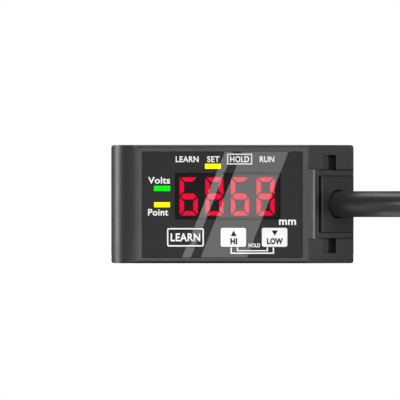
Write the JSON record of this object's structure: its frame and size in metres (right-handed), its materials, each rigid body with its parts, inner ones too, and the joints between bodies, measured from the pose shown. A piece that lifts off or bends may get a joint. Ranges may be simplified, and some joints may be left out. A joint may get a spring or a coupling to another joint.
{
  "type": "laser displacement sensor",
  "caption": "Compact laser displacement sensor with a digital read-out panel, push keys, status lamps, a laser window and a cable leaving a slanted corner.",
  "frame": {"origin": "centre of the body's footprint on the mounting side that it lies on, without the cable", "axes": "+X along the body towards the cable, -Y out of the display face, +Y along the laser beam, +Z across the body's width, up"},
  "size_m": [0.1597, 0.0417, 0.0283],
  "materials": {
    "die_cast_case": "fine satin paint on die-cast aluminium",
    "laser_window": "dark acrylic",
    "black_rubber": "matte",
    "overlay_film": "printed glossy film",
    "smoked_window": "smoked acrylic",
    "display_black": "matte",
    "red_segments": "lit diffuser",
    "yellow_lamp": "lit diffuser",
    "green_lamp": "lit diffuser",
    "led_chip": "satin",
    "dark_key": "printed film",
    "white_key": "printed film",
    "switch_metal": "stamped",
    "circuit_board": "solder mask",
    "chip_black": "moulded",
    "header_plastic": "moulded",
    "brass": "turned",
    "steel": "turned",
    "optics_metal": "die cast",
    "lens_glass": "polished",
    "ring_black": "matte",
    "cap_plastic": "moulded",
    "grommet_plastic": "moulded",
    "cable_jacket": "smooth satin",
    "tie_plastic": "ribbed",
    "core_insulation": "smooth",
    "copper": "tinned"
  },
  "bodies": {
    "body": {"case": "die_cast_case", "front_cover": "laser_window", "front_gasket": "black_rubber", "panel": "overlay_film", "display_window": "smoked_window", "digit_display": "display_black", "digit_segments": "red_segments", "out_lamp": "yellow_lamp", "power_lamp": "green_lamp", "laser_lamp": "yellow_lamp", "lamp_leds": "led_chip", "key_switches": "switch_metal", "display_board": "circuit_board", "main_board": "circuit_board", "board_chips": "chip_black", "board_header": "header_plastic", "board_spacers": "brass", "board_screws": "steel", "optical_base": "optics_metal", "laser_sleeve": "brass", "laser_diode": "brass", "collimator_lens": "lens_glass", "receiver_lens": "lens_glass", "lens_ring": "ring_black", "sensor_board": "circuit_board", "image_sensor": "chip_black", "end_cap": "cap_plastic", "cable_grommet": "grommet_plastic", "cable_clamp": "steel", "inner_cores": "core_insulation", "cable": "cable_jacket", "cable_hank": "cable_jacket", "hank_tie": "tie_plastic", "cable_tail": "cable_jacket", "lead_cores": "core_insulation", "core_tips": "copper"},
    "learn": {"learn_key": "dark_key", "learn_plunger": "display_black"},
    "up": {"up_key": "white_key", "up_plunger": "display_black"},
    "down": {"down_key": "white_key", "down_plunger": "display_black"}
  },
  "joints": [
    {"name": "learn_press", "type": "slide", "parent": "body", "child": "learn", "axis": [0, 1, 0], "range_m": [0, 0.00025], "stiffness_N_per_m": 2000},
    {"name": "up_press", "type": "slide", "parent": "body", "child": "up", "axis": [0, 1, 0], "range_m": [0, 0.00025], "stiffness_N_per_m": 2000},
    {"name": "down_press", "type": "slide", "parent": "body", "child": "down", "axis": [0, 1, 0], "range_m": [0, 0.00025], "stiffness_N_per_m": 2000}
  ]
}
